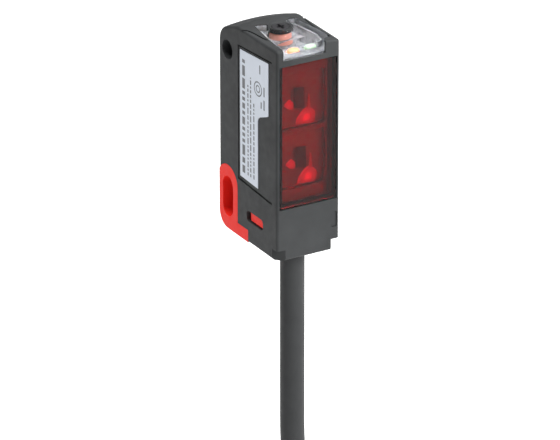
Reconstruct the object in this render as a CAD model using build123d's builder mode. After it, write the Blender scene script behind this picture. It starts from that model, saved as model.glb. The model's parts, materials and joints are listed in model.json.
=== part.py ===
from build123d import *
import math
import os

os.makedirs("parts", exist_ok=True)

# ----------------------------------------------------------------------------
# Miniature photoelectric sensor with fixed cable.  Millimetres, +Z up.
# Origin: centre of the upper fixing hole, halfway across the housing.
# -Y is the optical front, -X is the side with the rating label.
# ----------------------------------------------------------------------------

# overall body
WIDTH = 11.4            # across X
DEPTH = 18.3            # along Y
Y_BACK = 2.75           # back face, behind the fixing holes
Y_FRONT = Y_BACK - DEPTH
Z_FOOT = -31.0          # underside
Z_SHOULDER = -29.1      # underside of the two front corners
Z_ROOF = 5.34           # roof at mid width
CROWN_R = 36.0          # roof crown radius across the width
HALF = WIDTH / 2

# fixing holes
HOLE_R = 1.6
HOLE_PITCH = 25.4
SLOT_LEN = 6.9

# front window
WIN_W, WIN_Z0, WIN_Z1, WIN_T = 10.4, -22.1, 2.15, 0.9
WIN_Y = Y_FRONT + 0.06

# optics
LENS_Z = (-4.85, -15.05)  # transmitter, receiver
LENS_W, LENS_H = 8.4, 9.4

# adjuster
ADJ_Y = -6.9
ADJ_BORE_R = 1.5
ADJ_HEAD_R = 1.42

# side cover recess, as (Y, Z) corners
COVER_PTS = [(-3.3, 2.05), (-13.85, 2.70), (-13.85, -21.65), (-3.3, -21.05)]

# space under the clear cover, in plan
HOLLOW = [
    (-4.0, -13.4), (3.3, -13.4), (4.2, -12.8), (4.15, -10.4), (3.3, -5.35), (2.45, -5.45), (1.85, -5.95),
    (-1.85, -5.95), (-2.45, -5.45), (-3.0, -5.35), (-3.8, -10.4),
]
HOLLOW_TOP = 4.28

# cable
CABLE_D = 4.0
CABLE_Y = -10.6
Z_EXIT = -31.0
COIL_PITCH = 4.1

CROWN_Z = Z_ROOF - CROWN_R

# mounting insert: centre and radius of its round top, in (Y, Z)
INSERT_TOP, INSERT_R = (0.05, -23.0), 3.1


def yz(x):
    """Plane parallel to YZ at x, local x along +Y, local y along +Z, normal +X."""
    return Plane(origin=(x, 0, 0), x_dir=(0, 1, 0), z_dir=(1, 0, 0))


def xz(y):
    """Plane parallel to XZ at y, local x along +X, local y along +Z, normal -Y."""
    return Plane(origin=(0, y, 0), x_dir=(1, 0, 0), z_dir=(0, -1, 0))


def span(x0, x1, y0, y1, z0, z1):
    """Location and size of a box given by its limits."""
    return Location(((x0 + x1) / 2, (y0 + y1) / 2, (z0 + z1) / 2)), (x1 - x0, y1 - y0, z1 - z0)


def finish(builder, name):
    builder.part.label = name
    export_step(builder.part, f"parts/{name}.step")
    print(f"{name:22s} solids {len(builder.part.solids()):2d}  volume {builder.part.volume:9.3f}")


# ----------------------------------------------------------------------------
# Crowned upper envelope, shared by the housing and the clear cover
# ----------------------------------------------------------------------------
CROWN_A = 12.0
with BuildPart() as crown_cap:
    a = math.radians(CROWN_A)
    cap_plane = Plane(
        origin=(0, 0, CROWN_Z), x_dir=(0, 1, 0), z_dir=(math.cos(a), 0, math.sin(a))
    )
    with BuildSketch(cap_plane) as cap_profile:
        with BuildLine():
            Polyline(
                (Y_FRONT, -10 - CROWN_Z),
                (Y_BACK, -10 - CROWN_Z),
                (Y_BACK, 3.35 - CROWN_Z),
                (-2.9, Z_ROOF - CROWN_Z),
                (Y_FRONT, Z_ROOF - CROWN_Z),
                close=True,
            )
        make_face()
        fillet(cap_profile.vertices().sort_by_distance((Y_BACK, 3.35 - CROWN_Z))[0], 2.7)
        fillet(cap_profile.vertices().sort_by_distance((-2.9, Z_ROOF - CROWN_Z))[0], 5.0)
    revolve(axis=Axis((0, 0, CROWN_Z), (0, 1, 0)), revolution_arc=2 * CROWN_A)
    loc, size = span(-HALF, HALF, Y_FRONT - 1, Y_BACK + 1, -9, 9)
    with Locations(loc):
        Box(*size, mode=Mode.INTERSECT)


def insert_points(grow=0.0):
    """Side outline of the mounting insert below its round top, as (Y, Z)."""
    return [
        (Y_BACK + 2, INSERT_TOP[1]),
        (Y_BACK + 2, Z_FOOT - 2),
        (-6.35 - grow, Z_FOOT - 2),
        (-6.35 - grow, -28.9 + grow),
        (-3.05 - grow, -28.9 + grow),
        (-3.05 - grow, INSERT_TOP[1]),
    ]


def cover_points(s=0.0, front=None):
    """Plan outline of the clear cover as (X, Y); s shrinks it all round."""
    if front is None:
        front = Y_FRONT + (0.1 if s else -1.0)
    right = [(5.0 - s, front), (4.8 - s, -10.4), (3.75 - s, -4.75 - s)]
    left = [(-4.6 + s, front), (-4.25 + s, -10.4), (-3.4 + s, -4.75 - s)]
    back = [(2.75 - s, -4.85 - s), (1.6, -5.6 - s), (-1.6, -5.6 - s), (-2.75 + s, -4.85 - s)]
    return right + back + left[::-1]


# ----------------------------------------------------------------------------
# Housing
# ----------------------------------------------------------------------------
with BuildPart() as housing:
    with BuildSketch(yz(-HALF)) as lower_profile:
        with BuildLine():
            Polyline(
                (Y_FRONT, Z_FOOT), (Y_BACK, Z_FOOT), (Y_BACK, -3.0), (Y_FRONT, -3.0), close=True
            )
        make_face()
        fillet(lower_profile.vertices().sort_by_distance((Y_BACK, Z_FOOT))[0], 2.6)
    extrude(amount=WIDTH)
    add(crown_cap.part)
    # rounded shoulders along both sides of the roof and down the back corners
    fillet(
        [
            e
            for e in housing.edges()
            if e.bounding_box().size.X < 0.01
            and abs(e.center().X) > HALF - 0.01
            and e.bounding_box().max.Z > 0.5
            and e.bounding_box().max.Y > Y_FRONT + 1
        ],
        0.45,
    )
    # outer edges
    fillet(
        [e for e in housing.edges().filter_by(Axis.Z) if e.center().Y < Y_FRONT + 0.01 and abs(e.center().X) > HALF - 0.01],
        0.45,
    )
    # front corner cut-outs of the foot: a bevel on the left, a step on the right
    with BuildSketch(Plane.XY.offset(Z_FOOT - 1)):
        with BuildLine():
            Polyline(
                (-HALF - 1, Y_FRONT - 1),
                (-4.15, Y_FRONT - 1),
                (-4.15, Y_FRONT),
                (-HALF, -13.95),
                (-HALF - 1, -13.95),
                close=True,
            )
        make_face()
    extrude(amount=Z_SHOULDER - Z_FOOT + 1, mode=Mode.SUBTRACT)
    loc, size = span(4.2, HALF + 1, Y_FRONT - 1, -12.3, Z_FOOT - 1, Z_SHOULDER)
    with Locations(loc):
        Box(*size, mode=Mode.SUBTRACT)
    # pocket of the mounting insert
    with BuildSketch(yz(-HALF - 1)):
        with BuildLine():
            Polyline(*insert_points(0.04), close=True)
        make_face()
        with Locations(INSERT_TOP):
            Circle(INSERT_R + 0.04)
    extrude(amount=WIDTH + 2, mode=Mode.SUBTRACT)
    # upper fixing hole
    with BuildSketch(yz(-HALF - 1)):
        Circle(HOLE_R)
    extrude(amount=WIDTH + 2, mode=Mode.SUBTRACT)
    # window recess
    loc, size = span(-WIN_W / 2 - 0.04, WIN_W / 2 + 0.04, Y_FRONT - 1, -14.3, WIN_Z0 - 0.04, WIN_Z1 + 0.04)
    with Locations(loc):
        Box(*size, mode=Mode.SUBTRACT)
    # optics and electronics cavity
    for lim in (
        (-4.7, 4.7, -14.4, -13.4, -21.7, 1.75),
        (-4.7, 4.7, -13.5, -3.9, -24.3, 1.75),
        (-4.2, 4.2, -14.0, -3.9, 1.7, 4.3),
    ):
        loc, size = span(*lim)
        with Locations(loc):
            Box(*size, mode=Mode.SUBTRACT)
    # opening of the clear cover in the roof
    with BuildSketch(Plane.XY.offset(3.1)):
        with BuildLine():
            Polyline(*cover_points(0.0), close=True)
        make_face()
        with Locations((0, ADJ_Y)):
            Circle(1.95 + 0.0, mode=Mode.SUBTRACT)
        with Locations((0, -5.6)):
            Rectangle(3.4 + 2 * 0.0, 2.2 + 2 * 0.0, mode=Mode.SUBTRACT)
        with Locations((4.6, Y_FRONT)):
            Circle(1.5 + 0.0, mode=Mode.SUBTRACT)
    extrude(amount=5, mode=Mode.SUBTRACT)
    # parting grooves beside the roof legs
    for s in (-1, 1):
        with BuildSketch(Plane.XY.offset(4.55)):
            with BuildLine():
                if s < 0:
                    Spline((-5.95, -4.1), (-5.35, -5.0), (-4.86, -7.1), (-4.5, -10.6))
                else:
                    Spline((5.95, -4.1), (5.35, -5.0), (4.86, -7.1), (4.5, -9.8))
            trace(line_width=0.26)
        extrude(amount=3, mode=Mode.SUBTRACT)
    # adjuster bore and its dished collar
    with Locations((0, ADJ_Y, 5)):
        Cylinder(ADJ_BORE_R, 4, mode=Mode.SUBTRACT)
    with Locations((0, ADJ_Y, 5.24)):
        Cone(ADJ_BORE_R, ADJ_BORE_R + 0.3, 0.3, mode=Mode.SUBTRACT)
    # side cover recess and the assembly opening behind it
    with BuildSketch(yz(-HALF - 1)):
        with BuildLine():
            Polyline(*COVER_PTS, close=True)
        make_face()
    extrude(amount=1.6, mode=Mode.SUBTRACT)
    loc, size = span(-HALF, -4.6, -13.1, -4.2, -20.3, 1.2)
    with Locations(loc):
        Box(*size, mode=Mode.SUBTRACT)
    # latch windows and the channels of the latch arms
    for s in (-1, 1):
        with BuildSketch(yz(s * HALF - (1 if s < 0 else 1.2))):
            with Locations((-8.55, -26.34)):
                RectangleRounded(5.1, 1.85, 0.6)
        extrude(amount=2.2, mode=Mode.SUBTRACT)
        lo, hi = sorted((s * 4.6, s * 3.5))
        loc, size = span(lo, hi, -11.2, -3.0, -27.35, -25.25)
        with Locations(loc):
            Box(*size, mode=Mode.SUBTRACT)
    # cable bore
    with Locations((0, CABLE_Y, (Z_FOOT - 24.3) / 2)):
        Cylinder(2.9, -24.3 - Z_FOOT + 0.6, mode=Mode.SUBTRACT)
    # shallow moulded panel on the chin, beside the right edge
    with BuildSketch(xz(Y_FRONT)):
        with Locations((4.75, -25.7)):
            RectangleRounded(1.05, 2.7, 0.3)
    extrude(amount=-0.18, mode=Mode.SUBTRACT)
finish(housing, "housing")

# ----------------------------------------------------------------------------
# Side cover and label
# ----------------------------------------------------------------------------
with BuildPart() as side_cover:
    with BuildSketch(yz(-5.6)):
        with BuildLine():
            Polyline(
                (-3.42, 1.78), (-13.75, 2.42), (-13.75, -21.38), (-3.42, -20.8), close=True
            )
        make_face()
    extrude(amount=0.48)
    loc, size = span(-5.12, -4.8, -13.0, -4.3, -20.2, 1.1)
    with Locations(loc):
        Box(*size)
    fillet(side_cover.edges().filter_by(Axis.X).group_by(Axis.X)[0], 0.25)
finish(side_cover, "side_cover")

with BuildPart() as label:
    with BuildSketch(yz(-5.69)) as label_sk:
        with BuildLine():
            Polyline(
                (-3.95, 1.45),
                (-12.8, 2.05),
                (-12.8, -6.9),
                (-9.5, -8.2),
                (-9.5, -20.45),
                (-3.95, -20.2),
                close=True,
            )
        make_face()
        fillet(label_sk.vertices().sort_by_distance((-9.5, -8.2))[0], 1.2)
        fillet(label_sk.vertices().sort_by_distance((-12.8, -6.9))[0], 0.5)
    extrude(amount=0.09)
finish(label, "label")

# ----------------------------------------------------------------------------
# Front window and its seal
# ----------------------------------------------------------------------------
with BuildPart() as front_window:
    loc, size = span(-WIN_W / 2, WIN_W / 2, WIN_Y, WIN_Y + WIN_T, WIN_Z0, WIN_Z1)
    with Locations(loc):
        Box(*size)
    fillet(front_window.edges().filter_by(Axis.Y), 0.25)
    chamfer(front_window.faces().sort_by(Axis.Y)[0].edges(), 0.1)
finish(front_window, "front_window")

with BuildPart() as window_seal:
    with BuildSketch(xz(-14.3)):
        with Locations((0, (WIN_Z0 + WIN_Z1) / 2)):
            Rectangle(WIN_W, WIN_Z1 - WIN_Z0)
            Rectangle(9.3, WIN_Z1 - WIN_Z0 - 0.9, mode=Mode.SUBTRACT)
    extrude(amount=0.28)
finish(window_seal, "window_seal")

# ----------------------------------------------------------------------------
# Clear cover: crowned top, sloping front facet, hollow below
# ----------------------------------------------------------------------------
with BuildPart() as clear_cover:
    with BuildSketch(Plane.XY.offset(3.12)):
        with BuildLine():
            Polyline(*cover_points(0.05), close=True)
        make_face()
        with Locations((0, ADJ_Y)):
            Circle(1.95 + 0.05, mode=Mode.SUBTRACT)
        with Locations((0, -5.6)):
            Rectangle(3.4 + 2 * 0.05, 2.2 + 2 * 0.05, mode=Mode.SUBTRACT)
        with Locations((4.6, Y_FRONT)):
            Circle(1.5 + 0.05, mode=Mode.SUBTRACT)
    extrude(amount=4)
    add(crown_cap.part.moved(Location((0, 0, -0.05))), mode=Mode.INTERSECT)
    with BuildSketch(yz(-6)) as facet:
        with BuildLine():
            Polyline(
                (-16.5, 2.6), (-15.45, 3.2), (-13.9, 4.3), (-12.6, 5.42), (-12.6, 8), (-16.5, 8), close=True
            )
        make_face()
        fillet(facet.vertices().sort_by_distance((-13.9, 4.3))[0], 1.2)
    extrude(amount=12, mode=Mode.SUBTRACT)
    # hollow underside, with the display tray inside
    with BuildSketch(Plane.XY.offset(3.0)):
        with BuildLine():
            Polyline(*HOLLOW, close=True)
        make_face()
    extrude(amount=HOLLOW_TOP - 3.0, mode=Mode.SUBTRACT)
    # seat of the tray's flange
    with BuildSketch(Plane.XY.offset(3.0)):
        with BuildLine():
            Polyline(*cover_points(-0.3, -15.0), close=True)
        make_face()
    extrude(amount=0.3, mode=Mode.SUBTRACT)
finish(clear_cover, "clear_cover")

# ----------------------------------------------------------------------------
# Sensitivity adjuster
# ----------------------------------------------------------------------------
with BuildPart() as adjuster_rotor:
    with BuildSketch(Plane(origin=(0, ADJ_Y, 0), x_dir=(1, 0, 0), z_dir=(0, -1, 0))):
        with BuildLine():
            Polyline(
                (0, 3.02), (0.75, 3.02), (0.75, 4.24), (ADJ_HEAD_R, 4.24),
                (ADJ_HEAD_R, 4.46), (1.1, 4.46), (1.1, 4.82), (ADJ_HEAD_R, 4.82),
                (ADJ_HEAD_R, 5.11), (ADJ_HEAD_R - 0.08, 5.19), (0, 5.19), close=True,
            )
        make_face()
    revolve(axis=Axis((0, ADJ_Y, 0), (0, 0, 1)))
    with BuildSketch(Plane.XY.offset(4.55)):
        with Locations((0, ADJ_Y)):
            Rectangle(0.46, 1.96)
            Rectangle(1.3, 0.46)
    extrude(amount=1, mode=Mode.SUBTRACT)
finish(adjuster_rotor, "adjuster_rotor")

with BuildPart() as adjuster_seal:
    with Locations((0, ADJ_Y, 4.64)):
        Torus(1.275, 0.16)
finish(adjuster_seal, "adjuster_seal")

with BuildPart() as wiper:
    with BuildSketch(Plane.XY.offset(3.06)):
        with Locations((0, ADJ_Y)):
            Circle(1.02)
            with Locations((0, 0.85)):
                RectangleRounded(0.6, 1.0, 0.2)
            Circle(0.752, mode=Mode.SUBTRACT)
    extrude(amount=0.14)
finish(wiper, "wiper")

with BuildPart() as trimmer_body:
    with Locations((0, ADJ_Y, 2.5)):
        Cylinder(1.75, 1.65, align=(Align.CENTER, Align.CENTER, Align.MIN))
    with Locations((0, ADJ_Y, 2.9)):
        Cylinder(1.45, 0.55, align=(Align.CENTER, Align.CENTER, Align.MIN), mode=Mode.SUBTRACT)
    with Locations((0, ADJ_Y, 3.0)):
        Cylinder(0.81, 2, align=(Align.CENTER, Align.CENTER, Align.MIN), mode=Mode.SUBTRACT)
    fillet(
        trimmer_body.edges().filter_by(GeomType.CIRCLE).group_by(Axis.Z)[-1].sort_by(SortBy.RADIUS)[-1],
        0.15,
    )
finish(trimmer_body, "trimmer_body")

with BuildPart() as resistive_track:
    with BuildSketch(Plane.XY.offset(2.9)):
        with Locations((0, ADJ_Y)):
            Circle(1.4)
            Circle(1.08, mode=Mode.SUBTRACT)
            with Locations((0, -1.25)):
                Rectangle(1.5, 1.2, mode=Mode.SUBTRACT)
    extrude(amount=0.06)
finish(resistive_track, "resistive_track")

# ----------------------------------------------------------------------------
# Optics
# ----------------------------------------------------------------------------
with BuildPart() as optics_carrier:
    loc, size = span(-4.55, 4.55, -13.45, -7.35, -22.3, 1.45)
    with Locations(loc):
        Box(*size)
    for z in LENS_Z:
        with BuildSketch(xz(-12.1)):
            with Locations((0, z)):
                RectangleRounded(LENS_W + 0.08, LENS_H + 0.08, 0.6)
        extrude(amount=2, mode=Mode.SUBTRACT)
        with BuildSketch(xz(-12.2)):
            with Locations((0, z)):
                Circle(3.85)
        with BuildSketch(xz(-9.5)):
            with Locations((0, z)):
                Circle(2.4)
        loft(mode=Mode.SUBTRACT)
        loc, size = span(-2.5, 2.5, -9.6, -7, z - 2.5, z + 2.5)
        with Locations(loc):
            Box(*size, mode=Mode.SUBTRACT)
    loc, size = span(-3.9, 3.9, -12.9, -7, -21.7, -20.3)
    with Locations(loc):
        Box(*size, mode=Mode.SUBTRACT)
finish(optics_carrier, "optics_carrier")

lens_pair = []
for z in LENS_Z:
    with BuildPart() as one_lens:
        with BuildSketch(xz(-12.33)):
            with Locations((0, z)):
                RectangleRounded(LENS_W, LENS_H, 0.56)
        extrude(amount=2.07)
        with Locations((0, -14.4 + 12.5, z)):
            Sphere(12.5, mode=Mode.INTERSECT)
    lens_pair.append(one_lens)
finish(lens_pair[0], "transmitter_lens")
finish(lens_pair[1], "receiver_lens")

filter_pair = []
for z in LENS_Z:
    with BuildPart() as one_filter:
        with BuildSketch(xz(-12.13)):
            with Locations((0, z)):
                RectangleRounded(LENS_W - 0.2, LENS_H - 0.2, 0.5)
        extrude(amount=0.18)
    filter_pair.append(one_filter)
finish(filter_pair[0], "transmitter_filter")
finish(filter_pair[1], "receiver_filter")

# ----------------------------------------------------------------------------
# Electronics
# ----------------------------------------------------------------------------
with BuildPart() as main_board:
    loc, size = span(-4.4, 4.4, -6.9, -6.1, -23.6, 1.3)
    with Locations(loc):
        Box(*size)
finish(main_board, "main_board")

with BuildPart() as transmitter_led:
    loc, size = span(-1.6, 1.6, -8.3, -6.9, LENS_Z[0] - 1.6, LENS_Z[0] + 1.6)
    with Locations(loc):
        Box(*size)
    chamfer(transmitter_led.faces().sort_by(Axis.Y)[0].edges(), 0.25)
    with Locations((0, -8.4, LENS_Z[0])):
        Sphere(1.2)
finish(transmitter_led, "transmitter_led")

with BuildPart() as receiver_diode:
    loc, size = span(-1.6, 1.6, -8.0, -6.9, LENS_Z[1] - 1.6, LENS_Z[1] + 1.6)
    with Locations(loc):
        Box(*size)
    loc, size = span(-0.9, 0.9, -8.2, -8.0, LENS_Z[1] - 0.9, LENS_Z[1] + 0.9)
    with Locations(loc):
        Box(*size)
finish(receiver_diode, "receiver_diode")

with BuildPart() as receiver_shield:
    z = LENS_Z[1]
    loc, size = span(-2.2, 2.2, -9.2, -6.9, z - 2.2, z + 2.2)
    with Locations(loc):
        Box(*size)
    loc, size = span(-2.0, 2.0, -9.0, -6.8, z - 2.0, z + 2.0)
    with Locations(loc):
        Box(*size, mode=Mode.SUBTRACT)
    with BuildSketch(xz(-8)):
        with Locations((0, z)):
            Circle(1.3)
    extrude(amount=3, mode=Mode.SUBTRACT)
finish(receiver_shield, "receiver_shield")

with BuildPart() as indicator_board:
    loc, size = span(-4.1, 4.1, -13.85, -4.1, 1.8, 2.5)
    with Locations(loc):
        Box(*size)
    for x in (-3.7, -3.0, 3.0, 3.7):
        loc, size = span(x - 0.25, x + 0.25, -6.15, -5.65, 1.5, 3)
        with Locations(loc):
            Box(*size, mode=Mode.SUBTRACT)
finish(indicator_board, "indicator_board")

with BuildPart() as header_pins:
    for x in (-3.7, -3.0, 3.0, 3.7):
        loc, size = span(x - 0.2, x + 0.2, -6.1, -5.7, -1.6, 2.52)
        with Locations(loc):
            Box(*size)
finish(header_pins, "header_pins")

with BuildPart() as light_reflector:
    with BuildSketch(Plane.XY.offset(2.53)):
        with BuildLine():
            Polyline(*HOLLOW, close=True)
        make_face()
        offset(amount=-0.07, kind=Kind.INTERSECTION)
        with Locations((0, ADJ_Y)):
            Circle(1.82, mode=Mode.SUBTRACT)
        with Locations((-1.0, -12.55), (2.1, -12.55)):
            Rectangle(2.2, 1.6, mode=Mode.SUBTRACT)
    extrude(amount=0.4)
    with BuildSketch(Plane.XY.offset(2.93)):
        with BuildLine():
            Polyline(*HOLLOW, close=True)
        make_face()
        offset(amount=-0.07, kind=Kind.INTERSECTION)
    extrude(amount=HOLLOW_TOP - 2.93 - 0.05)
    # flange clamped under the clear cover
    with BuildSketch(Plane.XY.offset(3.12)):
        with BuildLine():
            Polyline(*cover_points(0.1, -14.9), close=True)
        make_face()
        with Locations((4.6, Y_FRONT)):
            Circle(1.6, mode=Mode.SUBTRACT)
    extrude(amount=0.16)
    with BuildSketch(Plane.XY.offset(2.93)):
        with BuildLine():
            Polyline(*HOLLOW, close=True)
        make_face()
        offset(amount=-0.35, kind=Kind.INTERSECTION)
        with Locations((0, ADJ_Y)):
            Circle(2.0)
    extrude(amount=3, mode=Mode.SUBTRACT)
    for y0, z0 in ((-13.4, 2.93), (-14.0, 3.28)):
        loc, size = span(-3.6, 2.8, y0, -12.4, z0, 5)
        with Locations(loc):
            Box(*size, mode=Mode.SUBTRACT)
    # collar round the trimmer
    with BuildSketch(Plane.XY.offset(2.9)):
        with Locations((0, ADJ_Y)):
            Circle(2.2)
            Circle(1.82, mode=Mode.SUBTRACT)
    extrude(amount=0.38)
finish(light_reflector, "light_reflector")

for name, x in (("indicator_yellow", -1.0), ("indicator_green", 2.1)):
    with BuildPart() as indicator:
        loc, size = span(x - 1.0, x + 1.0, -13.25, -11.85, 2.5, 2.85)
        with Locations(loc):
            Box(*size)
        with BuildSketch(Plane.XY.offset(2.85)):
            with Locations((x, -12.55)):
                Ellipse(0.98, 0.68)
        extrude(amount=0.6)
        fillet(indicator.faces().sort_by(Axis.Z)[-1].edges(), 0.3)
    finish(indicator, name)

with BuildPart() as controller_chip:
    loc, size = span(-2.0, 2.0, -6.0, -5.2, -12.0, -8.0)
    with Locations(loc):
        Box(*size)
    for i in range(6):
        for s in (-1, 1):
            loc, size = span(
                min(s * 2.0, s * 2.35), max(s * 2.0, s * 2.35), -6.1, -5.7, -11.75 + i * 0.65, -11.5 + i * 0.65
            )
            with Locations(loc):
                Box(*size)
finish(controller_chip, "controller_chip")

with BuildPart() as driver_chip:
    loc, size = span(-1.5, 1.5, -6.0, -5.1, -18.0, -15.5)
    with Locations(loc):
        Box(*size)
    for i in range(3):
        for s in (-1, 1):
            loc, size = span(
                min(s * 1.5, s * 1.85), max(s * 1.5, s * 1.85), -6.1, -5.7, -17.8 + i * 0.85, -17.45 + i * 0.85
            )
            with Locations(loc):
                Box(*size)
finish(driver_chip, "driver_chip")

with BuildPart() as capacitors:
    for x, z, w, h, t in ((-3.0, -5.0, 1.2, 2.0, 1.1), (3.0, -5.0, 1.2, 2.0, 1.1), (0.0, -14.0, 2.0, 1.2, 1.0), (-3.2, -19.5, 1.2, 2.0, 1.2)):
        loc, size = span(x - w / 2, x + w / 2, -6.1, -6.1 + t, z - h / 2, z + h / 2)
        with Locations(loc):
            Box(*size)
finish(capacitors, "capacitors")

with BuildPart() as resistors:
    for x, z in ((-0.9, -5.6), (0.9, -5.6), (-0.9, -3.6), (0.9, -3.6), (3.2, -15.2), (3.2, -17.2)):
        loc, size = span(x - 0.35, x + 0.35, -6.1, -5.65, z - 0.6, z + 0.6)
        with Locations(loc):
            Box(*size)
finish(resistors, "resistors")

LEADS = (("brown", -2.55), ("white", -0.85), ("blue", 0.85), ("black", 2.55))
with BuildPart() as solder_pads:
    for _, x in LEADS:
        loc, size = span(x - 0.55, x + 0.55, -7.0, -6.9, -23.5, -22.5)
        with Locations(loc):
            Box(*size)
finish(solder_pads, "solder_pads")

# ----------------------------------------------------------------------------
# Mounting insert with its slot and two latch arms
# ----------------------------------------------------------------------------
with BuildPart() as mounting_insert:
    with BuildSketch(yz(-HALF)):
        with BuildLine():
            Polyline(*insert_points(0.0), close=True)
        make_face()
        with Locations(INSERT_TOP):
            Circle(INSERT_R + 0.0)
    extrude(amount=WIDTH)
    # trimmed to the housing's own outline
    with BuildSketch(yz(-HALF - 1)) as env:
        with BuildLine():
            Polyline((-9, Z_FOOT), (Y_BACK, Z_FOOT), (Y_BACK, -15), (-9, -15), close=True)
        make_face()
        fillet(env.vertices().sort_by_distance((Y_BACK, Z_FOOT))[0], 2.6)
    extrude(amount=WIDTH + 2, mode=Mode.INTERSECT)
    with BuildSketch(yz(-HALF - 1)):
        with Locations((0, -HOLE_PITCH + 0.05)):
            SlotOverall(SLOT_LEN, 2 * HOLE_R, rotation=90)
    extrude(amount=WIDTH + 2, mode=Mode.SUBTRACT)
    for s in (-1, 1):
        lo, hi = sorted((s * 4.48, s * 3.62))
        loc, size = span(lo, hi, -11.05, -3.0, -27.2, -25.4)
        with Locations(loc):
            Box(*size)
        with BuildSketch(Plane.XY.offset(-26.98)):
            with BuildLine():
                Polyline(
                    (s * 4.4, -10.95), (s * 5.42, -10.95), (s * 5.42, -7.0), (s * 5.05, -6.2), (s * 4.4, -6.2), close=True
                )
            make_face()
        extrude(amount=1.46)
finish(mounting_insert, "mounting_insert")

# ----------------------------------------------------------------------------
# Cable entry
# ----------------------------------------------------------------------------
with BuildPart() as cable_grommet:
    with BuildSketch(Plane(origin=(0, CABLE_Y, 0), x_dir=(1, 0, 0), z_dir=(0, -1, 0))):
        with BuildLine():
            Polyline((2.02, -27.6), (2.85, -27.6), (2.85, -30.8), (2.6, -31.0), (2.02, -31.0), close=True)
        make_face()
    revolve(axis=Axis((0, CABLE_Y, 0), (0, 0, 1)))
finish(cable_grommet, "cable_grommet")

with BuildPart() as cable_clamp:
    with Locations((0, CABLE_Y, -26.5)):
        Cylinder(2.8, 2.0)
        Cylinder(2.02, 3.0, mode=Mode.SUBTRACT)
    with Locations((0, CABLE_Y + 2.4, -26.5)):
        Box(0.5, 1.6, 4, mode=Mode.SUBTRACT)
finish(cable_clamp, "cable_clamp")

with BuildPart() as cable_stub:
    with Locations((0, CABLE_Y, (Z_EXIT - 24.9) / 2)):
        Cylinder(CABLE_D / 2, -24.9 - Z_EXIT)
finish(cable_stub, "cable_stub")

for (colour, x), (dx, dy) in zip(LEADS, ((-1.0, -0.6), (-0.5, 0.7), (0.5, 0.7), (1.0, -0.6))):
    with BuildPart() as lead:
        with BuildLine() as lead_path:
            FilletPolyline(
                (dx, CABLE_Y + dy, -24.9),
                (dx, CABLE_Y + dy, -23.35),
                (x, -8.6, -23.0),
                (x, -7.0, -23.0),
                radius=0.5,
            )
        with BuildSketch(Plane(origin=(dx, CABLE_Y + dy, -24.9), z_dir=(0, 0, 1))):
            Circle(0.36)
        sweep()
    finish(lead, f"inner_lead_{colour}")

# ----------------------------------------------------------------------------
# Free cable: straight lead down, tied coil, hanging tail with stripped cores
# ----------------------------------------------------------------------------
COIL_X = 1.5 * COIL_PITCH          # coil centre, mid of its four columns
COIL_Y, COIL_Z = -16.0, -121.0
R_OUT_TURN = 29.7                  # centre line of the outermost turn, which the lead joins
R_TAIL = 31.3                      # centre line where the tail leaves, a little further out
R_INNER, R_OUTER = 14.7, 31.8      # the wound ring
COLS = [COIL_X - 1.5 * COIL_PITCH, COIL_X - 0.5 * COIL_PITCH, COIL_X + 0.5 * COIL_PITCH, COIL_X + 1.5 * COIL_PITCH]

# the lead meets the outermost turn along its tangent, at 135 degrees round from +Y
JOIN = math.radians(135)
JOIN_Y = COIL_Y + R_OUT_TURN * math.cos(JOIN)
JOIN_Z = COIL_Z + R_OUT_TURN * math.sin(JOIN)
RUN_IN = math.sqrt(R_OUTER**2 - (R_OUT_TURN - CABLE_D / 2) ** 2) + 0.15
ROUTE = [
    (0.0, CABLE_Y, Z_EXIT),
    (0.0, CABLE_Y, JOIN_Z + (CABLE_Y - JOIN_Y)),
    (0.0, JOIN_Y + RUN_IN * math.sin(JOIN), JOIN_Z - RUN_IN * math.cos(JOIN)),
]


def arc_radii(points):
    radii = []
    for p, q, r in zip(points, points[1:], points[2:]):
        u, v = Vector(*q) - Vector(*p), Vector(*r) - Vector(*q)
        turn = math.radians(u.get_angle(v))
        radii.append(0.45 * min(u.length, v.length) / math.tan(turn / 2))
    return radii


radii = arc_radii(ROUTE)
print("cable lead arc radii", [round(r, 1) for r in radii])
with BuildPart() as cable_lead:
    with BuildLine() as lead_line:
        FilletPolyline(*ROUTE, radius=radii)
    with BuildSketch(Plane(origin=ROUTE[0], z_dir=(0, 0, -1))):
        Circle(CABLE_D / 2)
    sweep()
lead_length = sum(e.length for e in lead_line.edges())
print("cable lead length", lead_length, "volume / (section * length)", cable_lead.part.volume / (math.pi * 4 * lead_length))
finish(cable_lead, "cable_lead")

with BuildPart() as cable_coil:
    x0, x1 = COLS[0] - 2.05, COLS[3] + 2.05
    with BuildSketch(Plane(origin=(0, COIL_Y, COIL_Z), x_dir=(1, 0, 0), z_dir=(0, -1, 0))) as coil_sec:
        with Locations(((x0 + x1) / 2, (R_INNER + R_OUTER) / 2)):
            RectangleRounded(x1 - x0, R_OUTER - R_INNER, 1.6)
    revolve(axis=Axis((0, COIL_Y, COIL_Z), (1, 0, 0)))
finish(cable_coil, "cable_coil")

TAIL_Y = COIL_Y - R_TAIL
TAIL_Z0 = COIL_Z - math.sqrt(R_OUTER**2 - (R_TAIL - CABLE_D / 2) ** 2) - 0.15
TAIL_Z1 = COIL_Z - 35.0
with BuildPart() as cable_tail:
    with Locations((COLS[3], TAIL_Y, (TAIL_Z0 + TAIL_Z1) / 2)):
        Cylinder(CABLE_D / 2, TAIL_Z0 - TAIL_Z1)
finish(cable_tail, "cable_tail")

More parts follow.
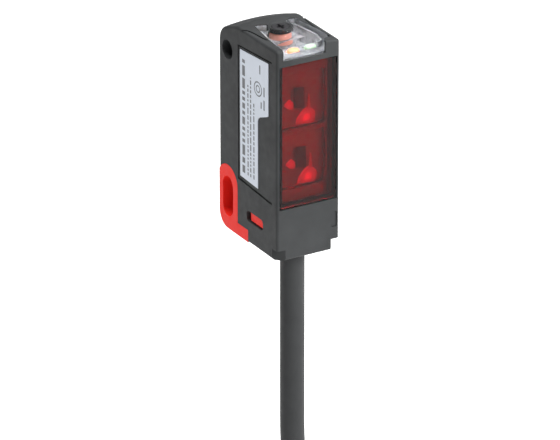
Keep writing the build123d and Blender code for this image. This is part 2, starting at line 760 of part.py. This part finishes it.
CORE_D = 1.15
CORES = (("brown", -0.8, -0.8, -2.6, -2.2), ("white", 0.8, -0.8, 2.4, -2.6), ("blue", -0.8, 0.8, -2.2, 2.4), ("black", 0.8, 0.8, 2.6, 2.0))
core_ends = []
for colour, dx, dy, ex, ey in CORES:
    p0 = (COLS[3] + dx, TAIL_Y + dy, TAIL_Z1)
    p1 = (COLS[3] + dx, TAIL_Y + dy, TAIL_Z1 - 3.5)
    p2 = (COLS[3] + ex, TAIL_Y + ey, TAIL_Z1 - 10.0)
    p3 = (COLS[3] + ex * 1.05, TAIL_Y + ey * 1.05, TAIL_Z1 - 14.5)
    with BuildPart() as core:
        with BuildLine() as core_line:
            FilletPolyline(p0, p1, p2, p3, radius=[0.9 * r for r in arc_radii([p0, p1, p2, p3])])
        with BuildSketch(Plane(origin=p0, z_dir=(0, 0, -1))):
            Circle(CORE_D / 2)
        sweep()
    finish(core, f"core_{colour}")
    core_ends.append((p2, p3))

with BuildPart() as ferrules:
    for p2, p3 in core_ends:
        with Locations(Plane(origin=p3, z_dir=Vector(*p3) - Vector(*p2))):
            Cylinder(0.95, 1.6, align=(Align.CENTER, Align.CENTER, Align.MIN))
            Cylinder(0.5, 6.0, align=(Align.CENTER, Align.CENTER, Align.MIN))
finish(ferrules, "ferrules")

with BuildPart() as cable_tie:
    ang = math.radians(330)
    tie_plane = Plane(
        origin=(0, COIL_Y, COIL_Z),
        x_dir=(1, 0, 0),
        z_dir=Vector(0, -math.sin(ang), math.cos(ang)),
    )
    # local x along X, local y along the radius
    sgn = 1 if tie_plane.y_dir.dot(Vector(0, math.cos(ang), math.sin(ang))) > 0 else -1
    g = 0.12
    with BuildSketch(tie_plane.offset(-1.5)) as tie_sk:
        with BuildLine():
            pts = [(x0 - g, R_INNER - g), (x1 + g, R_INNER - g), (x1 + g, R_OUTER + g), (x0 - g, R_OUTER + g)]
            Polyline(*[(x, sgn * y) for x, y in pts], close=True)
        make_face()
        offset(amount=1.0, kind=Kind.ARC)
        with BuildLine():
            Polyline(*[(x, sgn * y) for x, y in pts], close=True)
        make_face(mode=Mode.SUBTRACT)
    extrude(amount=3.0)
    # the tie's head
    with BuildSketch(tie_plane.offset(-2.2)):
        with Locations((x0 + 1.8, sgn * (R_OUTER + g + 1.55))):
            RectangleRounded(4.0, 2.6, 0.5)
    extrude(amount=4.4)
finish(cable_tie, "cable_tie")
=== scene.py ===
import json
import math
import random

import bpy
import bmesh
from mathutils import Matrix, Vector


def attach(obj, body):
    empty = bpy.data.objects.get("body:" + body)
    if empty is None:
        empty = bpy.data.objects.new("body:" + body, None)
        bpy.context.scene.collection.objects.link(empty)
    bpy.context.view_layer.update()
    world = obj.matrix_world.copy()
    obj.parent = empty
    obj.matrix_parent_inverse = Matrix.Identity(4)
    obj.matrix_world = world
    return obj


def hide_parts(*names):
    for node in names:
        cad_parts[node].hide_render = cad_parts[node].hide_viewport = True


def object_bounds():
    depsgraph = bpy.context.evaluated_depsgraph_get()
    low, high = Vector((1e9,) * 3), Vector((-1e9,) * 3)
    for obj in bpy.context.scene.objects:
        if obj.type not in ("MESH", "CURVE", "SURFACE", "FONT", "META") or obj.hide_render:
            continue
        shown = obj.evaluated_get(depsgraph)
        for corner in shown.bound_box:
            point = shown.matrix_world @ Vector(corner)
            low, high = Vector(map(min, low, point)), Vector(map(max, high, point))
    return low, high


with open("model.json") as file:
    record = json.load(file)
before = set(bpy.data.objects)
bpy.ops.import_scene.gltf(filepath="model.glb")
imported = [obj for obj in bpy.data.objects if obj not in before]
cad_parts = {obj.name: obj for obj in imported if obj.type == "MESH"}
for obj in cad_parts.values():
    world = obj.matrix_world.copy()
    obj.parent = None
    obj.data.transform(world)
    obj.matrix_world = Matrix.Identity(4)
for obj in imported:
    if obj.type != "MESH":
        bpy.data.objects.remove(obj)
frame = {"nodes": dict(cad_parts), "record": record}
NODES = frame["nodes"]
cad_low, cad_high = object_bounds()
random.seed(7)
scene = bpy.context.scene
MM = 0.001

# ---------------------------------------------------------------- camera
AZ, EL, DIST, F_PX = math.radians(-30.31), math.radians(24.35), 800.0, 5050.46
d = Vector((math.sin(AZ) * math.cos(EL), -math.cos(AZ) * math.cos(EL), math.sin(EL)))
r = Vector((math.cos(AZ), math.sin(AZ), 0.0))
u = Vector((-math.sin(EL) * math.sin(AZ), math.sin(EL) * math.cos(AZ), math.cos(EL)))
eye = (r * 3.392 + u * -28.127 + d * DIST) * MM
cam_data = bpy.data.cameras.new("camera")
cam_data.sensor_width = 36.0
cam_data.sensor_fit = "HORIZONTAL"
cam_data.lens = F_PX * 36.0 / 560.0
cam_data.clip_start, cam_data.clip_end = 0.05, 20.0
cam = bpy.data.objects.new("camera", cam_data)
scene.collection.objects.link(cam)
cam.matrix_world = Matrix(
    ((r.x, u.x, d.x, eye.x), (r.y, u.y, d.y, eye.y), (r.z, u.z, d.z, eye.z), (0, 0, 0, 1))
)
scene.camera = cam
scene.view_settings.view_transform = "Standard"
scene.view_settings.look = "None"


# ---------------------------------------------------------------- helpers
def link(obj):
    scene.collection.objects.link(obj)
    return obj


def new_mat(name):
    m = bpy.data.materials.new(name)
    m.use_nodes = True
    nt = m.node_tree
    nt.nodes.clear()
    out = nt.nodes.new("ShaderNodeOutputMaterial")
    sh = nt.nodes.new("ShaderNodeBsdfPrincipled")
    nt.links.new(sh.outputs["BSDF"], out.inputs["Surface"])
    return m, nt, sh


def coords(nt, scale=1.0):
    tc = nt.nodes.new("ShaderNodeTexCoord")
    mp = nt.nodes.new("ShaderNodeMapping")
    mp.inputs["Scale"].default_value = (scale, scale, scale)
    nt.links.new(tc.outputs["Object"], mp.inputs["Vector"])
    return mp.outputs["Vector"]


def noise(nt, vec, scale, detail=4.0, rough=0.55):
    n = nt.nodes.new("ShaderNodeTexNoise")
    n.inputs["Scale"].default_value = scale
    n.inputs["Detail"].default_value = detail
    n.inputs["Roughness"].default_value = rough
    nt.links.new(vec, n.inputs["Vector"])
    return n.outputs["Fac"]


def ramp(nt, fac, stops):
    c = nt.nodes.new("ShaderNodeValToRGB")
    el = c.color_ramp.elements
    el[0].position, el[0].color = stops[0][0], (*stops[0][1], 1)
    el[1].position, el[1].color = stops[-1][0], (*stops[-1][1], 1)
    for p, col in stops[1:-1]:
        e = el.new(p)
        e.color = (*col, 1)
    nt.links.new(fac, c.inputs["Fac"])
    return c.outputs["Color"]


def map_range(nt, fac, a, b, lo, hi):
    n = nt.nodes.new("ShaderNodeMapRange")
    n.inputs["From Min"].default_value = a
    n.inputs["From Max"].default_value = b
    n.inputs["To Min"].default_value = lo
    n.inputs["To Max"].default_value = hi
    nt.links.new(fac, n.inputs["Value"])
    return n.outputs["Result"]


def bump(nt, sh, fac, strength, distance):
    b = nt.nodes.new("ShaderNodeBump")
    b.inputs["Strength"].default_value = strength
    b.inputs["Distance"].default_value = distance
    nt.links.new(fac, b.inputs["Height"])
    nt.links.new(b.outputs["Normal"], sh.inputs["Normal"])
    return b


def scaled(col, k):
    return tuple(min(1.0, c * k) for c in col)


def plastic(name, col, rough=0.45, vary=0.10, grain=2600.0, strength=0.25, dist=0.00003, spec=0.5, sss=0.0):
    """Moulded plastic: fine spark-eroded grain, soft colour drift, uneven gloss."""
    m, nt, sh = new_mat(name)
    v = coords(nt)
    big = noise(nt, v, 120.0, 3.0)
    fine = noise(nt, v, grain, 2.0, 0.6)
    lo, hi = scaled(col, 1 - vary), scaled(col, 1 + vary)
    nt.links.new(ramp(nt, big, [(0.3, lo), (0.7, hi)]), sh.inputs["Base Color"])
    nt.links.new(map_range(nt, noise(nt, v, 700.0, 3.0), 0.3, 0.7, rough - 0.06, rough + 0.06), sh.inputs["Roughness"])
    sh.inputs["Specular IOR Level"].default_value = spec
    if sss:
        sh.inputs["Subsurface Weight"].default_value = sss
        sh.inputs["Subsurface Radius"].default_value = (0.001, 0.0006, 0.0004)
        sh.inputs["Subsurface Scale"].default_value = 0.4
    bump(nt, sh, fine, strength, dist)
    return m


def clear(name, col, rough=0.03, ior=1.49, coat=0.0):
    m, nt, sh = new_mat(name)
    v = coords(nt)
    sh.inputs["Base Color"].default_value = (*col, 1)
    sh.inputs["Transmission Weight"].default_value = 1.0
    sh.inputs["IOR"].default_value = ior
    sh.inputs["Coat Weight"].default_value = coat
    sh.inputs["Coat Roughness"].default_value = 0.04
    nt.links.new(map_range(nt, noise(nt, v, 500.0, 3.0), 0.3, 0.7, rough * 0.5, rough * 1.6), sh.inputs["Roughness"])
    bump(nt, sh, noise(nt, v, 160.0, 2.0), 0.05, 0.00002)
    return m


def metal(name, col, rough=0.3, scale=900.0):
    m, nt, sh = new_mat(name)
    v = coords(nt)
    n = noise(nt, v, scale, 4.0)
    nt.links.new(ramp(nt, n, [(0.3, scaled(col, 0.88)), (0.7, scaled(col, 1.08))]), sh.inputs["Base Color"])
    sh.inputs["Metallic"].default_value = 1.0
    nt.links.new(map_range(nt, n, 0.3, 0.7, rough - 0.06, rough + 0.08), sh.inputs["Roughness"])
    bump(nt, sh, noise(nt, v, scale * 2.5, 2.0), 0.15, 0.00001)
    return m


def glow(m, col, strength):
    sh = next(n for n in m.node_tree.nodes if n.type == "BSDF_PRINCIPLED")
    sh.inputs["Emission Color"].default_value = (*col, 1)
    sh.inputs["Emission Strength"].default_value = strength
    return m


def marbled(name):
    """Bright vacuum-coated plastic, cloudy and uneven."""
    m, nt, sh = new_mat(name)
    v = coords(nt)
    n = noise(nt, v, 620.0, 4.0, 0.65)
    stops = [(0.40, (0.22, 0.22, 0.23)), (0.50, (0.52, 0.53, 0.55)), (0.60, (0.84, 0.85, 0.87))]
    nt.links.new(ramp(nt, n, stops), sh.inputs["Base Color"])
    sh.inputs["Metallic"].default_value = 0.25
    nt.links.new(map_range(nt, n, 0.3, 0.7, 0.35, 0.18), sh.inputs["Roughness"])
    bump(nt, sh, noise(nt, v, 900.0, 2.0), 0.35, 0.00008)
    return m


MAT = {
    "housing_plastic": plastic("housing_plastic", (0.0325, 0.034, 0.035), 0.55, 0.20, strength=0.4, spec=0.13),
    "red_window": clear("red_window", (0.66, 0.045, 0.040), 0.15, 1.18, 0.15),
    "seal_rubber": plastic("seal_rubber", (0.018, 0.018, 0.019), 0.6),
    "clear_plastic": clear("clear_plastic", (0.95, 0.96, 0.98), 0.03, 1.07, 0.5),
    "black_plastic": plastic("black_plastic", (0.016, 0.016, 0.018), 0.4),
    "contact_brass": metal("contact_brass", (0.78, 0.58, 0.27), 0.25),
    "trimmer_pink": plastic("trimmer_pink", (0.72, 0.30, 0.23), 0.4),
    "carbon_track": plastic("carbon_track", (0.03, 0.03, 0.03), 0.7),
    "carrier_plastic": plastic("carrier_plastic", (0.16, 0.10, 0.10), 0.5),
    "lens_plastic": clear("lens_plastic", (0.93, 0.90, 0.90), 0.04, 1.12),
    "filter_film": plastic("filter_film", (0.27, 0.27, 0.25), 0.3, 0.25, spec=0.2),
    "led_clear": glow(plastic("led_clear", (0.85, 0.22, 0.16), 0.15), (1.0, 0.10, 0.06), 3.0),
    "diode_dark": plastic("diode_dark", (0.25, 0.08, 0.09), 0.12),
    "shield_metal": metal("shield_metal", (0.72, 0.72, 0.70), 0.28),
    "board_green": plastic("board_green", (0.03, 0.16, 0.08), 0.25, 0.2),
    "reflector_white": marbled("reflector_white"),
    "indicator_amber": glow(plastic("indicator_amber", (0.95, 0.34, 0.16), 0.2), (1.0, 0.30, 0.12), 0.8),
    "indicator_clear_green": plastic("indicator_clear_green", (0.60, 0.80, 0.56), 0.2),
    "chip_black": plastic("chip_black", (0.022, 0.022, 0.024), 0.5),
    "capacitor_body": plastic("capacitor_body", (0.42, 0.30, 0.19), 0.35, 0.15),
    "solder_metal": metal("solder_metal", (0.78, 0.78, 0.80), 0.22),
    "insert_orange": plastic("insert_orange", (0.74, 0.020, 0.012), 0.48, 0.06, strength=0.2, spec=0.12),
    "cable_sheath": plastic("cable_sheath", (0.030, 0.031, 0.032), 0.55, 0.12, grain=1500.0, spec=0.15),
    "core_brown": plastic("core_brown", (0.17, 0.065, 0.03), 0.4),
    "core_white": plastic("core_white", (0.78, 0.78, 0.76), 0.4),
    "core_blue": plastic("core_blue", (0.03, 0.13, 0.48), 0.4),
    "core_black": plastic("core_black", (0.018, 0.018, 0.018), 0.4),
}


# label: satin film with grey generic bars, procedural in object space
def label_material():
    m, nt, sh = new_mat("label_film")
    v = coords(nt)
    n = noise(nt, v, 300.0, 3.0)
    nt.links.new(ramp(nt, n, [(0.3, (0.47, 0.51, 0.575)), (0.7, (0.52, 0.56, 0.63))]), sh.inputs["Base Color"])
    nt.links.new(map_range(nt, n, 0.3, 0.7, 0.30, 0.42), sh.inputs["Roughness"])
    bump(nt, sh, noise(nt, v, 2000.0, 2.0), 0.08, 0.00001)
    return m


MAT["label_film"] = label_material()
MAT["print_grey"] = plastic("print_grey", (0.10, 0.105, 0.115), 0.5, 0.3, grain=4000.0)

slot_of = {s["node"]: s["material_slot"] for s in frame["record"]["subparts"]}
for name, obj in NODES.items():
    m = MAT[slot_of[name]]
    obj.data.materials.clear()
    obj.data.materials.append(m)

# ---------------------------------------------------------------- cord
# One cable: down out of the foot, into the outermost turn of the coil, through
# four flat spirals side by side, and out again as the tail.
PITCH_X, PITCH_R, R_SMALL, R_BIG = 4.1, 4.3, 16.8, 29.7
CY, CZ = -16.0, -121.0
CABLE_R = 2.0


def on_ring(x, rad, deg):
    a = math.radians(deg)
    return (x, CY + rad * math.cos(a), CZ + rad * math.sin(a))


route = [(0.0, -10.6, z) for z in (-31.0, -39.0, -47.0, -55.0)]
jy = CY + R_BIG * math.cos(math.radians(135))
jz = CZ + R_BIG * math.sin(math.radians(135))
kz = jz + (-10.6 - jy)
ARC = 23.4
t0 = ARC * math.tan(math.radians(22.5))
for k in range(5):
    a = math.radians(45 * k / 4)
    route.append((0.0, -10.6 - ARC * (1 - math.cos(a)), kz + t0 - ARC * math.sin(a)))
lead_end = route[-1]
for f in (0.33, 0.66):
    route.append((0.0, lead_end[1] + (jy - lead_end[1]) * f, lead_end[2] + (jz - lead_end[2]) * f))

# (degrees swept, column at the start and end, radius at the start and end)
legs = [
    (1080, 0, 0, R_BIG, R_SMALL),
    (90, 0, 1, R_SMALL, R_SMALL),
    (1080, 1, 1, R_SMALL, R_BIG),
    (90, 1, 2, R_BIG, R_BIG),
    (1080, 2, 2, R_BIG, R_SMALL),
    (90, 2, 3, R_SMALL, R_SMALL),
    (1215, 3, 3, R_SMALL, R_SMALL + PITCH_R * 3.375),
]
deg = 135.0
for sweep, c0, c1, r0, r1 in legs:
    n = int(sweep / 15)
    for k in range(n):
        t = k / n
        s = t * t * (3 - 2 * t)
        route.append(on_ring(PITCH_X * (c0 + (c1 - c0) * s), r0 + (r1 - r0) * t, deg + k * 15))
    deg += sweep
route.append(on_ring(PITCH_X * 3, legs[-1][4], deg))
ty = route[-1][1]
for z in (-6.0, -14.0, -24.0, -35.0):
    route.append((PITCH_X * 3, ty, CZ + z))

curve = bpy.data.curves.new("cable", "CURVE")
curve.dimensions = "3D"
curve.bevel_depth = CABLE_R * MM
curve.bevel_resolution = 6
curve.resolution_u = 4
curve.use_fill_caps = True
sp = curve.splines.new("NURBS")
sp.points.add(len(route) - 1)
for p, q in zip(sp.points, route):
    p.co = (q[0] * MM, q[1] * MM, q[2] * MM, 1.0)
sp.order_u = 3
sp.use_endpoint_u = True
cable = link(bpy.data.objects.new("cable", curve))
curve.materials.append(MAT["cable_sheath"])
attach(cable, "sensor_body")
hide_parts("cable_lead", "cable_coil", "cable_tail")


# ---------------------------------------------------------------- CAD nodes
for name, obj in NODES.items():
    for p in obj.data.polygons:
        p.use_smooth = True
for name, w in (
    ("housing", 0.10), ("side_cover", 0.06), ("mounting_insert", 0.10), ("adjuster_rotor", 0.04),
    ("clear_cover", 0.05), ("cable_tie", 0.08),
):
    obj = NODES[name]
    b = obj.modifiers.new("edge", "BEVEL")
    b.width = w * MM
    b.segments = 2
    b.limit_method = "ANGLE"
    b.angle_limit = math.radians(35)
    b.harden_normals = True


def box_obj(name, lo, hi, mat, bevel=0.0, body="sensor_body"):
    me = bpy.data.meshes.new(name)
    bm = bmesh.new()
    bmesh.ops.create_cube(bm, size=1.0)
    for v in bm.verts:
        v.co = Vector([(lo[i] + hi[i]) / 2 + v.co[i] * (hi[i] - lo[i]) for i in range(3)]) * MM
    if bevel:
        bmesh.ops.bevel(bm, geom=bm.edges[:], offset=bevel * MM, segments=2, affect="EDGES")
    bm.to_mesh(me)
    bm.free()
    o = link(bpy.data.objects.new(name, me))
    me.materials.append(mat)
    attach(o, body)
    return o


def prism(name, pts, y0, y1, mat, bevel=0.0):
    """Solid with an outline in X and Z, from y0 to y1."""
    me = bpy.data.meshes.new(name)
    bm = bmesh.new()
    a = [bm.verts.new((x * MM, y0 * MM, z * MM)) for x, z in pts]
    c = [bm.verts.new((x * MM, y1 * MM, z * MM)) for x, z in pts]
    bm.faces.new(a)
    bm.faces.new(c[::-1])
    n = len(pts)
    for i in range(n):
        bm.faces.new((a[i], c[i], c[(i + 1) % n], a[(i + 1) % n]))
    bmesh.ops.recalc_face_normals(bm, faces=bm.faces[:])
    if bevel:
        bmesh.ops.bevel(bm, geom=bm.edges[:], offset=bevel * MM, segments=2, affect="EDGES")
    bm.to_mesh(me)
    bm.free()
    o = link(bpy.data.objects.new(name, me))
    me.materials.append(mat)
    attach(o, "sensor_body")
    return o


# ---------------------------------------------------------------- label print
# Generic marks only: rows of unequal dashes that run up the label, and two plain rings
LX = -5.69
bars = []
rows = ((-5.1, -19.3, 0.2, 0.85), (-6.45, -19.3, -3.6, 0.34), (-7.3, -19.3, -2.2, 0.34), (-8.3, -19.3, -6.3, 0.34))
for y, z0, z1, h in rows:
    z = z0
    while z < z1:
        w = random.choice((0.45, 0.7, 0.95, 1.3)) * (1.35 if h > 0.5 else 0.8)
        zz = min(z + w, z1)
        bars.append((y - h / 2, y + h / 2, z, zz))
        z = zz + (0.42 if h > 0.5 else 0.26)
for y, z0, z1 in ((-10.6, -6.3, -5.2), (-11.5, -6.3, -4.6), (-11.5, -4.0, -2.4), (-10.2, -0.6, 0.9)):
    bars.append((y - 0.17, y + 0.17, z0, z1))
me = bpy.data.meshes.new("label_print")
bm = bmesh.new()
for y0, y1, z0, z1 in bars:
    vs = [bm.verts.new((x * MM, y * MM, z * MM)) for x in (LX + 0.004, LX - 0.004) for y, z in ((y0, z0), (y1, z0), (y1, z1), (y0, z1))]
    for f in ((0, 1, 2, 3), (7, 6, 5, 4), (0, 4, 5, 1), (1, 5, 6, 2), (2, 6, 7, 3), (3, 7, 4, 0)):
        bm.faces.new([vs[i] for i in f])
for cy, cz, rr in ((-9.6, -3.3, 1.15), (-9.6, -3.3, 0.55)):
    n = 40
    ring = []
    for k in range(n):
        a = 2 * math.pi * k / n
        ring.append([bm.verts.new((x * MM, (cy + q * math.cos(a)) * MM, (cz + q * math.sin(a)) * MM)) for q in (rr - 0.11, rr + 0.11) for x in (LX + 0.004, LX - 0.004)])
    for k in range(n):
        p, q = ring[k], ring[(k + 1) % n]
        for i, j in ((0, 1), (1, 3), (3, 2), (2, 0)):
            bm.faces.new((p[i], p[j], q[j], q[i]))
bmesh.ops.recalc_face_normals(bm, faces=bm.faces[:])
bm.to_mesh(me)
bm.free()
label_print = link(bpy.data.objects.new("label_print", me))
me.materials.append(MAT["print_grey"])
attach(label_print, "sensor_body")

# ---------------------------------------------------------------- parts with painted glow behind the window
# Moulded prisms on the back of each lens with painted red glow (emission standing in for light seen on the lenses),
# and the dark mask beside them
def painted_glow(name, col, inner, outer):
    """Red prism with painted glow: emission brightest at its middle and fading to its edges."""
    m = plastic(name, (0.22, 0.01, 0.015), 0.4)
    nt = m.node_tree
    sh = next(n for n in nt.nodes if n.type == "BSDF_PRINCIPLED")
    tc = nt.nodes.new("ShaderNodeTexCoord")
    mp = nt.nodes.new("ShaderNodeMapping")
    mp.inputs["Location"].default_value = (-0.5, -0.5, -0.5)
    nt.links.new(tc.outputs["Generated"], mp.inputs["Vector"])
    ln = nt.nodes.new("ShaderNodeVectorMath")
    ln.operation = "LENGTH"
    nt.links.new(mp.outputs["Vector"], ln.inputs[0])
    sh.inputs["Emission Color"].default_value = (*col, 1)
    nt.links.new(map_range(nt, ln.outputs["Value"], 0.50, 0.80, inner, outer), sh.inputs["Emission Strength"])
    return m


# painted glow: emission on the lens prisms and their cores, and a dim painted glow on the rib; none of these parts is
# a lamp
MAT["painted_glow_prism"] = painted_glow("painted_glow_prism", (0.85, 0.0, 0.22), 0.80, 0.05)
MAT["painted_glow_core"] = painted_glow("painted_glow_core", (0.95, 0.0, 0.25), 1.25, 0.55)
MAT["painted_glow_rib"] = glow(plastic("painted_glow_rib", (0.40, 0.02, 0.02), 0.2), (1.0, 0.02, 0.02), 0.12)
MAT["mask_dark"] = plastic("mask_dark", (0.016, 0.022, 0.018), 0.5)
YF = -13.42
for tag, cx, cz in (("transmitter", 0.0, -4.85), ("receiver", 0.3, -15.05)):
    prism(f"{tag}_prism", [(cx - 1.15, cz - 3.95), (cx + 2.3, cz - 4.3), (cx + 2.35, cz - 2.5), (cx + 1.6, cz - 1.7), (cx + 0.9, cz - 1.35), (cx + 0.1, cz - 1.75), (cx - 0.9, cz - 2.9)], YF, YF + 0.35, MAT["painted_glow_prism"], 0.12)
    prism(f"{tag}_prism_core", [(cx - 0.1, cz - 3.5), (cx + 1.3, cz - 3.65), (cx + 1.3, cz - 2.55), (cx + 0.4, cz - 2.4)], YF - 0.16, YF, MAT["painted_glow_core"], 0.1)
    prism(f"{tag}_prism_side", [(cx - 3.3, cz - 0.35), (cx - 2.5, cz - 1.15), (cx - 1.6, cz - 1.3), (cx - 1.55, cz - 0.3), (cx - 2.3, cz + 0.55)], YF, YF + 0.3, MAT["painted_glow_prism"], 0.12)
    prism(f"{tag}_prism_rib", [(cx + 0.85, cz - 1.9), (cx + 1.5, cz - 2.0), (cx + 1.35, cz + 0.6), (cx + 1.1, cz + 0.9)], YF + 0.05, YF + 0.3, MAT["painted_glow_rib"], 0.06)
    prism(f"{tag}_mask", [(cx - 1.3, cz - 1.3), (cx + 0.55, cz - 1.6), (cx + 0.55, cz + 1.9), (cx - 1.3, cz + 2.1)], YF + 0.4, YF + 0.6, MAT["mask_dark"], 0.05)

# bright strips round the back and the right side of the clear cover's seat, a painted highlight standing in for light
# glinting there
for tag, pts in (
    ("right", [(4.904, -13.95, 4.15), (4.866, -12.9, 4.85), (4.775, -10.4, 4.93), (3.725, -4.775, 5.08), (2.725, -4.875, 5.15), (1.75, -5.52, 5.2)]),
    ("back", [(-1.75, -5.52, 5.2), (-2.725, -4.875, 5.15), (-3.375, -4.775, 5.1)]),
):
    me = bpy.data.meshes.new("seat_painted_highlight_" + tag)
    bm = bmesh.new()
    cols = [[bm.verts.new(((x + dx) * MM, y * MM, z * MM)) for dx in (-0.006, 0.006) for z in (3.31, zt)] for x, y, zt in pts]
    for p, q in zip(cols, cols[1:]):
        for i, j in ((0, 1), (1, 3), (3, 2), (2, 0)):
            bm.faces.new((p[i], p[j], q[j], q[i]))
    for c in (cols[0], cols[-1]):
        bm.faces.new((c[0], c[1], c[3], c[2]))
    bmesh.ops.recalc_face_normals(bm, faces=bm.faces[:])
    bm.to_mesh(me)
    bm.free()
    highlight_sheet = link(bpy.data.objects.new("seat_painted_highlight_" + tag, me))
    me.materials.append(MAT["reflector_white"])
    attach(highlight_sheet, "sensor_body")

# black strips of painted shade on the back of the window and along its front left edge, standing in for the shadow in
# the frame's gap and recess
MAT["painted_shade_black"] = plastic("painted_shade_black", (0.006, 0.005, 0.005), 0.7, spec=0.04)
for tag, lo, hi in (
    ("left", (-5.14, -14.62, -22.0), (-4.32, -14.585, 2.05)),
    ("edge", (-5.19, -15.475, -22.05), (-4.82, -15.43, 2.1)),
    ("right", (4.72, -14.62, -22.0), (5.14, -14.585, 2.05)),
    ("bottom", (-4.32, -14.62, -22.0), (4.72, -14.585, -21.45)),
):
    box_obj(f"window_shade_strip_{tag}", lo, hi, MAT["painted_shade_black"])

# ---------------------------------------------------------------- stage
floor_z = (cad_low[2] if not isinstance(cad_low, float) else -0.17) - 0.004
bpy.ops.mesh.primitive_plane_add(size=8.0, location=(0, 1.0, floor_z))
floor = bpy.context.object
floor.name = "floor"
fm, fnt, fsh = new_mat("floor_white")
fsh.inputs["Base Color"].default_value = (0.70, 0.70, 0.70, 1)
fsh.inputs["Roughness"].default_value = 0.9
fsh.inputs["Emission Color"].default_value = (1, 1, 1, 1)
fsh.inputs["Emission Strength"].default_value = 0.47
floor.data.materials.append(fm)

world = bpy.data.worlds.new("studio")
scene.world = world
world.use_nodes = True
bg = world.node_tree.nodes["Background"]
bg.inputs["Color"].default_value = (1.0, 1.0, 1.0, 1)
bg.inputs["Strength"].default_value = 0.135


def area(name, loc, target, size, power, col=(1, 1, 1)):
    l = bpy.data.lights.new(name, "AREA")
    l.shape = "RECTANGLE"
    l.size, l.size_y = size
    l.energy = power
    l.color = col
    o = link(bpy.data.objects.new(name, l))
    o.location = loc
    o.rotation_euler = (Vector(target) - Vector(loc)).to_track_quat("-Z", "Y").to_euler()
    return o


MID = (0.0, -0.006, -0.012)
area("key", (0.45, -0.85, 0.60), MID, (0.5, 0.5), 22.5)
area("top", (-0.05, 0.15, 0.9), MID, (0.7, 0.5), 15.0)
area("left", (-0.9, -0.1, 0.25), MID, (0.5, 0.8), 0.25, (0.93, 0.96, 1.0))
